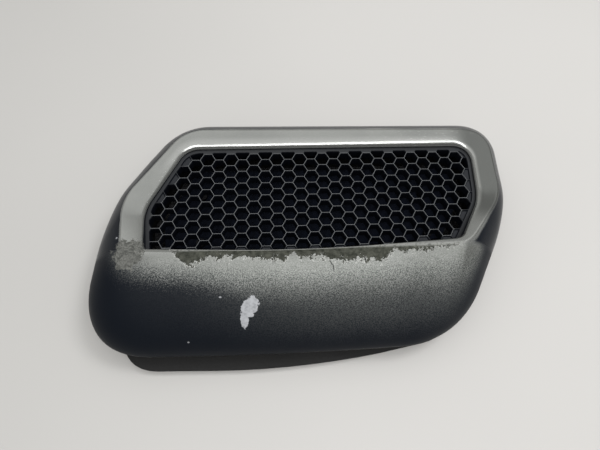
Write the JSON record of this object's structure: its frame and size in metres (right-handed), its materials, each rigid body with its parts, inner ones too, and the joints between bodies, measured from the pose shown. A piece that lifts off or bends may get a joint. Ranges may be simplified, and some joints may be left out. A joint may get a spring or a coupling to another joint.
{
  "type": "cowl vent",
  "caption": "Air vent for an engine cowl: a painted cover with a scooped lower lip round a recessed honeycomb grille, on a moulded rear housing with an air outlet.",
  "frame": {"origin": "centre of the bounding box, on the base gasket's lower face", "axes": "+X along the vent's length, to the right; +Y towards the top edge; +Z out of the face"},
  "size_m": [0.2812, 0.1702, 0.0534],
  "materials": {
    "painted_shell": "metallic graphite paint on moulded plastic, worn at the lip",
    "grille_plastic": "moulded satin",
    "frame_plastic": "moulded matte",
    "housing_plastic": "moulded grained",
    "rubber": "matte",
    "foam_rubber": "closed-cell foam",
    "open_foam": "open-cell foam",
    "stainless": "satin",
    "screen_steel": "perforated sheet",
    "aluminium": "turned",
    "brass": "turned",
    "black_steel": "black zinc-nickel plated steel"
  },
  "bodies": {
    "root": {"outer_shell": "painted_shell", "rim_seal": "rubber", "honeycomb_grille": "grille_plastic", "grille_seal": "foam_rubber", "inner_frame": "frame_plastic", "frame_screws": "stainless", "frame_washers": "stainless", "splash_baffle": "housing_plastic", "baffle_spacers": "aluminium", "baffle_screws": "black_steel", "rear_housing": "housing_plastic", "housing_seal": "foam_rubber", "housing_screws": "stainless", "housing_washers": "stainless", "outlet_screen": "screen_steel", "screen_ring": "frame_plastic", "screen_screws": "stainless", "silencer_foam": "open_foam", "drain_grommets": "rubber", "mount_inserts": "brass", "base_gasket": "foam_rubber"}
  },
  "joints": []
}
